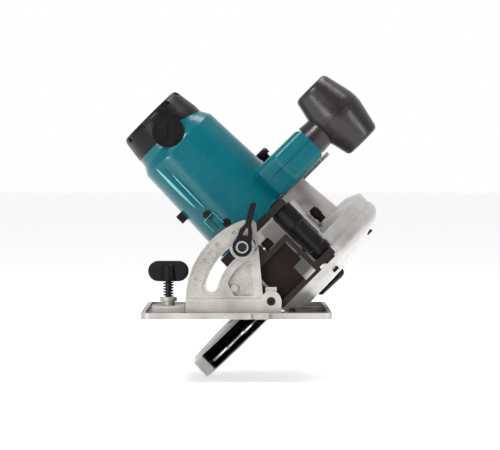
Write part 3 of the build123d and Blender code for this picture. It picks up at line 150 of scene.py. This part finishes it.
# Each surface: dark tone, light tone, roughness span, then what differs from the plain finish
SURFACES = {
    "teal_plastic": ((0.0, 0.072, 0.092), (0.0, 0.090, 0.112), (0.20, 0.28),
                     {"grain": 700, "grain_depth": 0.00002, "specular": 0.24}),
    "black_plastic": ((0.004, 0.0032, 0.0036), (0.008, 0.0065, 0.007), (0.28, 0.42),
                      {"grain": 1500, "grain_depth": 0.00005, "specular": 0.13}),
    "knob_plastic": ((0.012, 0.0095, 0.011), (0.018, 0.014, 0.016), (0.26, 0.36),
                     {"grain": 1800, "grain_depth": 0.00004, "specular": 0.35}),
    "cast_alloy": ((0.25, 0.24, 0.219), (0.39, 0.378, 0.352), (0.32, 0.52),
                   {"metallic": 0.6, "grain": 1300, "grain_depth": 0.00028}),
    "case_alloy": ((0.34, 0.327, 0.305), (0.46, 0.447, 0.425), (0.28, 0.44),
                   {"metallic": 0.6, "grain": 1100, "grain_depth": 0.00012}),
    "gear_alloy": ((0.31, 0.285, 0.265), (0.41, 0.385, 0.36), (0.34, 0.50),
                   {"metallic": 0.5, "grain": 1300, "grain_depth": 0.0002}),
    "black_steel": ((0.007, 0.0055, 0.0055), (0.014, 0.011, 0.0105), (0.28, 0.44),
                    {"grain": 900, "grain_depth": 0.00005, "specular": 0.18}),
    "dark_plate": ((0.008, 0.0042, 0.0035), (0.013, 0.0072, 0.0062), (0.45, 0.62),
                   {"grain": 1200, "grain_depth": 0.00008, "specular": 0.07}),
    "zinc_steel": ((0.26, 0.26, 0.25), (0.44, 0.44, 0.425), (0.20, 0.38),
                   {"metallic": 0.95, "grain": 1000, "grain_depth": 0.00010}),
    "bright_steel": ((0.40, 0.40, 0.41), (0.54, 0.54, 0.55), (0.18, 0.32),
                     {"metallic": 1.0, "grain": 700, "grain_depth": 0.00005, "stretch": (1, 12, 1)}),
    "blade_steel": ((0.46, 0.46, 0.46), (0.60, 0.60, 0.60), (0.22, 0.36),
                    {"metallic": 1.0, "grain": 600, "grain_depth": 0.00004, "stretch": (8, 1, 8)}),
    "carbide": ((0.30, 0.30, 0.31), (0.42, 0.42, 0.43), (0.2, 0.3), {"metallic": 0.9}),
    "copper": ((0.42, 0.14, 0.05), (0.56, 0.21, 0.08), (0.25, 0.4),
               {"metallic": 0.9, "grain": 420, "grain_depth": 0.0003, "stretch": (1, 6, 1)}),
    "brass": ((0.55, 0.38, 0.13), (0.66, 0.48, 0.18), (0.25, 0.4), {"metallic": 1.0}),
    "carbon": ((0.008, 0.008, 0.008), (0.016, 0.016, 0.016), (0.5, 0.7), {}),
    "laminations": ((0.07, 0.07, 0.075), (0.13, 0.13, 0.135), (0.35, 0.5),
                    {"metallic": 0.8, "grain": 500, "grain_depth": 0.0002, "stretch": (12, 1, 12)}),
    "rubber": ((0.010, 0.010, 0.010), (0.018, 0.018, 0.018), (0.55, 0.75),
               {"grain": 1500, "grain_depth": 0.0001, "specular": 0.2}),
    # Lighter teal, a painted highlight: it stands for the light caught on the housing's flutes and panel
    # lines
    "teal_painted_highlight": ((0.07, 0.34, 0.38), (0.12, 0.44, 0.48), (0.2, 0.3), {}),
    "seam_black": ((0.002, 0.002, 0.002), (0.003, 0.003, 0.003), (0.6, 0.8), {"specular": 0.05}),
    "guard_alloy": ((0.30, 0.295, 0.285), (0.42, 0.415, 0.40), (0.24, 0.38),
                    {"metallic": 1.0, "grain": 1100, "grain_depth": 0.0001}),
    "scale_ink": ((0.05, 0.047, 0.042), (0.09, 0.085, 0.078), (0.5, 0.65), {}),
}

materials = {name: surface(name, dark, light, rough, **finish)
             for name, (dark, light, rough, finish) in SURFACES.items()}
slot_of = {part["node"]: part["material_slot"] for part in frame["record"]["subparts"]}


def dress(piece, material):
    piece.data.materials.clear()
    piece.data.materials.append(material)


WELD_GAP = 0.000005                # metres
ROLL_SEGMENTS = 2
SHARP_ANGLE = math.radians(35)     # edges that turn further than this are rolled


def soften_edges(piece, width):
    """Merges the mesh's split points and rolls its sharp edges, so they catch the light."""
    weld = piece.modifiers.new("weld", "WELD")
    weld.merge_threshold = WELD_GAP
    roll = piece.modifiers.new("roll", "BEVEL")
    roll.width = width
    roll.segments = ROLL_SEGMENTS
    roll.limit_method = "ANGLE"
    roll.angle_limit = SHARP_ANGLE
    even = piece.modifiers.new("even", "WEIGHTED_NORMAL")
    even.keep_sharp = True


# Width of each part's rolled edges, in millimetres
EDGE = {
    "base_plate": 0.7, "front_quadrant": 0.8, "rear_quadrant": 0.6, "front_bracket": 0.4,
    "depth_guide": 0.4, "bevel_lever": 0.5, "bevel_clamp_washer": 0.25, "case_cover": 0.6,
    "lower_guard": 0.3, "guard_lever": 0.5, "gear_housing": 0.8, "motor_cap": 0.5,
    "motor_housing": 0.6, "dust_spout": 0.4, "brush_caps": 0.4, "handle_left": 0.4,
    "handle_right": 0.4, "front_knob": 0.5, "hinge_barrel": 0.4, "pivot_bolts": 0.3,
    "blade_case": 0.5, "front_shield": 0.2, "bevel_lever_nut": 0.4, "case_bolt": 0.4,
    "rear_wing_nut": 0.4}

FINISH = {"lower_guard": "guard_alloy"}   # smoother than the cast parts in its slot

for name, node in nodes.items():
    dress(node, materials[FINISH.get(name, slot_of[name])])
    if name in EDGE:
        soften_edges(node, EDGE[name] * MM)


# ---------------------------------------------------------------- detail pieces

def level(x, y, z):
    """Place in metres of a point in millimetres that isn't tilted, as on the base."""
    return Vector((x * MM, y * MM, z * MM))


def piece_from(name, verts, faces, slot, body, smooth=False):
    """A mesh piece from points in metres, that rides on a body."""
    mesh = bpy.data.meshes.new(name)
    mesh.from_pydata([tuple(v) for v in verts], [], faces)
    shape = bmesh.new()
    shape.from_mesh(mesh)
    bmesh.ops.recalc_face_normals(shape, faces=shape.faces)
    shape.to_mesh(mesh)
    shape.free()
    if smooth:
        mesh.polygons.foreach_set("use_smooth", [True] * len(mesh.polygons))
    piece = bpy.data.objects.new(name, mesh)
    bpy.context.scene.collection.objects.link(piece)
    dress(piece, materials[slot])
    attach(piece, body)
    return piece


def tilted(x, y, z):
    """Place in metres of a saw-frame point in millimetres."""
    return TILTED @ level(x, y, z)


KNURLED_FROM = 3   # radius in millimetres past which ribs are cut


def lathe(name, rings, origin, along, across, slot, body, sides=32, ribs=0, rib_depth=0.0, closed=False):
    """Rings of (distance along, radius) in millimetres round an axis; ribs knurl the wide ones.

    The ends are capped, unless closed joins the last ring to the first, which leaves a hole in the middle.
    """
    along, across = along.normalized(), across.normalized()
    third = along.cross(across)
    verts, faces = [], []
    for step, radius in rings:
        for i in range(sides):
            turn = 2 * math.pi * i / sides
            wave = rib_depth * (math.cos(ribs * turn) > 0) if radius > KNURLED_FROM else 0
            spoke = across * math.cos(turn) + third * math.sin(turn)
            verts.append(origin + along * step * MM + spoke * (radius - wave) * MM)
    count = len(rings)
    for k in range(count if closed else count - 1):
        low, high = k * sides, (k + 1) % count * sides
        for i in range(sides):
            j = (i + 1) % sides
            faces.append((low + i, low + j, high + j, high + i))
    if not closed:
        faces += [tuple(range(sides)), tuple(range((count - 1) * sides, count * sides))]
    return piece_from(name, verts, faces, slot, body)


RIDGE_STATIONS, RIDGE_SIDES = 24, 8
RIDGE_TIP = 0.02    # share of the section that is left at the ends
RIDGE_BACK = 0.05   # millimetres that its edges lie behind the line from start to end


def ridge(name, start, end, width, height, slot, body):
    """A long half-round strip, open at the back, that fades out at both ends."""
    start, end = Vector(start), Vector(end)
    run = end - start
    square = Vector((-run.z, 0, run.x)).normalized()
    verts, faces = [], []
    for k in range(RIDGE_STATIONS + 1):
        at = k / RIDGE_STATIONS
        swell = math.sin(math.pi * at) ** 0.5 if 0 < at < 1 else RIDGE_TIP
        for i in range(RIDGE_SIDES + 1):
            turn = math.pi * i / RIDGE_SIDES
            spot = start + run * at + square * (math.cos(turn) * width / 2 * swell)
            spot.y -= math.sin(turn) * height * swell - RIDGE_BACK
            verts.append(tilted(*spot))
    for k in range(RIDGE_STATIONS):
        for i in range(RIDGE_SIDES):
            a = k * (RIDGE_SIDES + 1) + i
            faces.append((a, a + 1, a + RIDGE_SIDES + 2, a + RIDGE_SIDES + 1))
    return piece_from(name, verts, faces, slot, body, smooth=True)


def bar(name, corners, y0, y1, slot, body, placed=tilted):
    """A flat polygon of (x, z) corners, thickened from y0 to y1."""
    count = len(corners)
    verts = [placed(x, y, z) for y in (y0, y1) for x, z in corners]
    faces = [tuple(range(count)), tuple(range(2 * count - 1, count - 1, -1))]
    faces += [(i, (i + 1) % count, (i + 1) % count + count, i + count) for i in range(count)]
    return piece_from(name, verts, faces, slot, body)


QUADRANT_FACE = -148.0   # front face of the bevel quadrant
SCALE_R, TICK_R = 77.6, 71.6
ZERO_ANGLE = 163.6
DIGIT_SIZE, FRACTION_SIZE = 5.2, 4.0
DIGIT_LIFT, DIGIT_RISE = 0.1, 0.12
TICK_STEP, TICK_END = 5, 50
LONG_TICK, SHORT_TICK, TICK_HALF = 2.6, 1.6, 0.25
LONG_EVERY = 15
TICK_PROUD, TICK_SUNK = 0.15, 0.3


def make_scale():
    """Numbers and tick marks of the bevel scale."""
    for number in ("0", "15", "22.5", "30", "45", "50"):
        angle = math.radians(ZERO_ANGLE - float(number))
        outward = Vector((math.cos(angle), 0, math.sin(angle)))
        reading = Vector((math.sin(angle), 0, -math.cos(angle)))
        curve = bpy.data.curves.new("scale_" + number.replace(".", "_"), "FONT")
        curve.body = number
        curve.size = (FRACTION_SIZE if "." in number else DIGIT_SIZE) * MM
        curve.align_x, curve.align_y = "CENTER", "CENTER"
        curve.extrude = DIGIT_RISE * MM
        text = bpy.data.objects.new(curve.name, curve)
        place = Vector((PIVOT.x, (QUADRANT_FACE - DIGIT_LIFT) * MM, PIVOT.z)) + outward * SCALE_R * MM
        text.matrix_world = Matrix((
            (reading.x, outward.x, 0, place.x), (0, 0, -1, place.y),
            (reading.z, outward.z, 0, place.z), (0, 0, 0, 1)))
        bpy.context.scene.collection.objects.link(text)
        dress(text, materials["scale_ink"])
        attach(text, "base")
    for degrees in range(0, TICK_END + 1, TICK_STEP):
        angle = math.radians(ZERO_ANGLE - degrees)
        length = SHORT_TICK if degrees % LONG_EVERY else LONG_TICK
        out = Vector((math.cos(angle), math.sin(angle)))
        side = Vector((-math.sin(angle), math.cos(angle)))
        corners = []
        for r, w in ((TICK_R, -TICK_HALF), (TICK_R, TICK_HALF),
                     (TICK_R + length, TICK_HALF), (TICK_R + length, -TICK_HALF)):
            spot = out * r + side * w
            corners.append((PIVOT.x / MM + spot.x, PIVOT.z / MM + spot.y))
        bar(f"tick_{degrees}", corners, QUADRANT_FACE - TICK_PROUD, QUADRANT_FACE + TICK_SUNK,
            "scale_ink", "base", placed=level)


# The marks are drawn from this plane; most of each one stands 2 to 11 mm in front of the motor housing
MARK_PLANE = -50.4
PANEL_X0, PANEL_X1 = -103, -88
PANEL_Z0, PANEL_Z1 = 6.8, 20.8
PANEL_LINE, PANEL_END_OVER = 0.5, 0.2
PANEL_Y0, PANEL_Y1 = MARK_PLANE + 0.5, MARK_PLANE + 4
# Start, end, width and height of each flute; y is counted back from the mark plane
FLUTES = {"flute_low": ((-176, 5.0, 11.0), (-118, 4.0, 10.8), 3.0, 2.4),
          "flute_high": ((-160, 3.2, 18.0), (-112, 2.2, 17.2), 1.6, 1.4)}


def make_housing_details():
    """Outline of a small panel, and two flutes, standing in front of the motor housing; they are drawn in a
    lighter teal that is a painted highlight.
    """
    end = PANEL_X0 - PANEL_END_OVER
    for name, x0, x1, z0, z1 in (("panel_top", PANEL_X0, PANEL_X1, PANEL_Z1 - PANEL_LINE, PANEL_Z1),
                                 ("panel_bottom", PANEL_X0, PANEL_X1, PANEL_Z0, PANEL_Z0 + PANEL_LINE),
                                 ("panel_end", end, end + PANEL_LINE, PANEL_Z0, PANEL_Z1)):
        # The panel lines are drawn in the lighter teal, a painted highlight
        bar(name, ((x0, z0), (x1, z0), (x1, z1), (x0, z1)), PANEL_Y0, PANEL_Y1, "teal_painted_highlight", "saw_body")
    plane = Vector((0, MARK_PLANE, 0))
    for name, (start, end, width, height) in FLUTES.items():
        # The flutes are drawn in the lighter teal, a painted highlight
        ridge(name, plane + Vector(start), plane + Vector(end), width, height, "teal_painted_highlight", "saw_body")


STOP_SCREW = (-42.5, -133.0, 20.0)
STOP_HEAD = [(13.0, 4.2), (13.6, 5.2), (21.4, 5.2), (22.4, 4.4), (22.8, 2.2)]
STOP_HEAD_SIDES, STOP_RIBS, STOP_RIB_DEPTH = 64, 16, 0.5
STOP_TIP, STOP_COLLAR = [(-2.0, 1.6)], [(10.0, 2.7), (10.0, 4.4), (12.9, 4.4), (13.0, 3.8)]
THREADS, THREAD_START, THREAD_PITCH = 9, -1.6, 1.2
THREAD_CREST, THREAD_ROOT = 2.7, 2.2


def make_stop_screw():
    """Knurled black head on a threaded shank, which tilts with the front bracket."""
    origin = tilted(*STOP_SCREW)
    across = Vector((0, 1, 0))
    lathe("stop_screw_head", STOP_HEAD, origin, UP, across, "black_plastic", "tilt_frame",
          sides=STOP_HEAD_SIDES, ribs=STOP_RIBS, rib_depth=STOP_RIB_DEPTH)
    thread = []
    for k in range(THREADS):
        crest = THREAD_START + THREAD_PITCH * k
        thread += [(crest, THREAD_CREST), (crest + THREAD_PITCH / 2, THREAD_ROOT)]
    lathe("stop_screw_shank", STOP_TIP + thread + STOP_COLLAR, origin, UP, across, "bright_steel",
          "tilt_frame")


# The seam meets the neck at the knob's end and stands 11 mm in front of it at the other
NECK_SEAM_Y = -76.0
NECK_SEAM_X, NECK_SEAM_Z0, NECK_SEAM_Z1 = -85.5, 88, 141.8
NECK_SEAM_HALF, NECK_SEAM_PROUD, NECK_SEAM_SUNK = 0.25, 0.04, 0.4
KNOB_SEAM = (-84.5, -56.0, 179.6)
KNOB_SEAM_R, KNOB_SEAM_HALF = 27.54, 0.22
SEAM_SIDES = 64
LEVER_RING_AT = (-58.56, -163.6, 17.79)
LEVER_RING = [(0, 4.3), (0, 6.3), (-0.6, 5.9), (-0.6, 4.6)]


def make_seams():
    """Dark parting lines of the neck and of the knob, and the steel ring on the bevel lever's nut."""
    x0, x1 = NECK_SEAM_X - NECK_SEAM_HALF, NECK_SEAM_X + NECK_SEAM_HALF
    corners = ((x0, NECK_SEAM_Z0), (x1, NECK_SEAM_Z0), (x1, NECK_SEAM_Z1), (x0, NECK_SEAM_Z1))
    bar("neck_seam", corners, NECK_SEAM_Y - NECK_SEAM_PROUD, NECK_SEAM_Y + NECK_SEAM_SUNK, "seam_black",
        "saw_body")
    back = Vector((0, 1, 0))
    lathe("knob_seam", [(-KNOB_SEAM_HALF, KNOB_SEAM_R), (KNOB_SEAM_HALF, KNOB_SEAM_R)],
          tilted(*KNOB_SEAM), SIDE, back, "seam_black", "saw_body", sides=SEAM_SIDES)
    lathe("lever_ring", LEVER_RING, tilted(*LEVER_RING_AT), back, SIDE, "bright_steel", "bevel_lever",
          closed=True)


make_scale()
make_housing_details()
make_seams()
make_stop_screw()


# ---------------------------------------------------------------- floor, light, camera

FLOOR_SIZE = 30          # metres from the middle to an edge
FLOOR_GAP = 0.0005       # metres below the object, so that nothing flickers
FLOOR_WHITE, FLOOR_ROUGH, FLOOR_GLOW = 0.94, 0.95, 0.42


def make_floor(height):
    mesh = bpy.data.meshes.new("floor")
    shape = bmesh.new()
    bmesh.ops.create_grid(shape, x_segments=1, y_segments=1, size=FLOOR_SIZE)
    shape.to_mesh(mesh)
    shape.free()
    floor = bpy.data.objects.new("floor", mesh)
    bpy.context.scene.collection.objects.link(floor)
    floor.location.z = height
    material, _, shader, _ = new_material("floor_white")
    shader.inputs["Base Color"].default_value = (FLOOR_WHITE, FLOOR_WHITE, FLOOR_WHITE, 1)
    shader.inputs["Roughness"].default_value = FLOOR_ROUGH
    shader.inputs["Specular IOR Level"].default_value = 0.0
    shader.inputs["Emission Color"].default_value = (1, 1, 1, 1)
    shader.inputs["Emission Strength"].default_value = FLOOR_GLOW
    dress(floor, material)


LIT_SPOT = (0, 0, 0.12)
# Place, width and height in metres, and power in watts
LAMPS = {"key": ((-1.3, -2.0, 1.9), (0.6, 0.6), 62), "low_left": ((-1.0, -1.7, 0.03), (0.5, 0.2), 13),
         "fill": ((1.9, -1.6, 0.5), (0.4, 1.2), 20), "top": ((0.4, 0.3, 2.0), (1.6, 0.7), 34)}
SKY_DIM, SKY_BRIGHT = 0.22, 1.0
SKY_FROM, SKY_TO = -0.6, 0.85   # how far back a direction points as the sky starts and stops brightening


def area_light(name, place, size, power):
    light = bpy.data.lights.new(name, "AREA")
    light.shape = "RECTANGLE"
    light.size, light.size_y = size
    light.energy = power
    lamp = bpy.data.objects.new(name, light)
    bpy.context.scene.collection.objects.link(lamp)
    lamp.location = place
    lamp.rotation_euler = (Vector(LIT_SPOT) - Vector(place)).to_track_quat("-Z", "Y").to_euler()


def make_world():
    """White behind the saw, dimmer on the camera's side, so that dark parts keep their depth."""
    world = bpy.data.worlds.new("studio")
    world.use_nodes = True
    tree = world.node_tree
    place = tree.nodes.new("ShaderNodeTexCoord").outputs["Generated"]
    parts = tree.nodes.new("ShaderNodeSeparateXYZ")
    tree.links.new(place, parts.inputs["Vector"])
    glow = spread(tree, parts.outputs["Y"], SKY_DIM, SKY_BRIGHT, SKY_FROM, SKY_TO)
    tree.links.new(glow, tree.nodes["Background"].inputs["Strength"])
    tree.nodes["Background"].inputs["Color"].default_value = (1, 1, 1, 1)
    bpy.context.scene.world = world


def make_lights():
    make_world()
    for name, (place, size, power) in LAMPS.items():
        area_light(name, place, size, power)


CAMERA_AWAY, CAMERA_X, CAMERA_Z = 3.99, 0.0036, 0.150
LENS, SENSOR, SEEN_TO = 278.3, 36, 100
PITCH, YAW = -0.845, -0.148   # degrees: a little down, a little to the right


def make_camera():
    data = bpy.data.cameras.new("camera")
    data.lens = LENS
    data.sensor_width = SENSOR
    data.clip_end = SEEN_TO
    camera = bpy.data.objects.new("camera", data)
    camera.location = (CAMERA_X, -CAMERA_AWAY, CAMERA_Z)
    camera.rotation_euler = (math.radians(90 + PITCH), 0, math.radians(YAW))
    bpy.context.scene.collection.objects.link(camera)
    bpy.context.scene.camera = camera


make_floor(cad_box[0].z - FLOOR_GAP)
make_lights()
make_camera()
bpy.context.scene.view_settings.view_transform = "Standard"
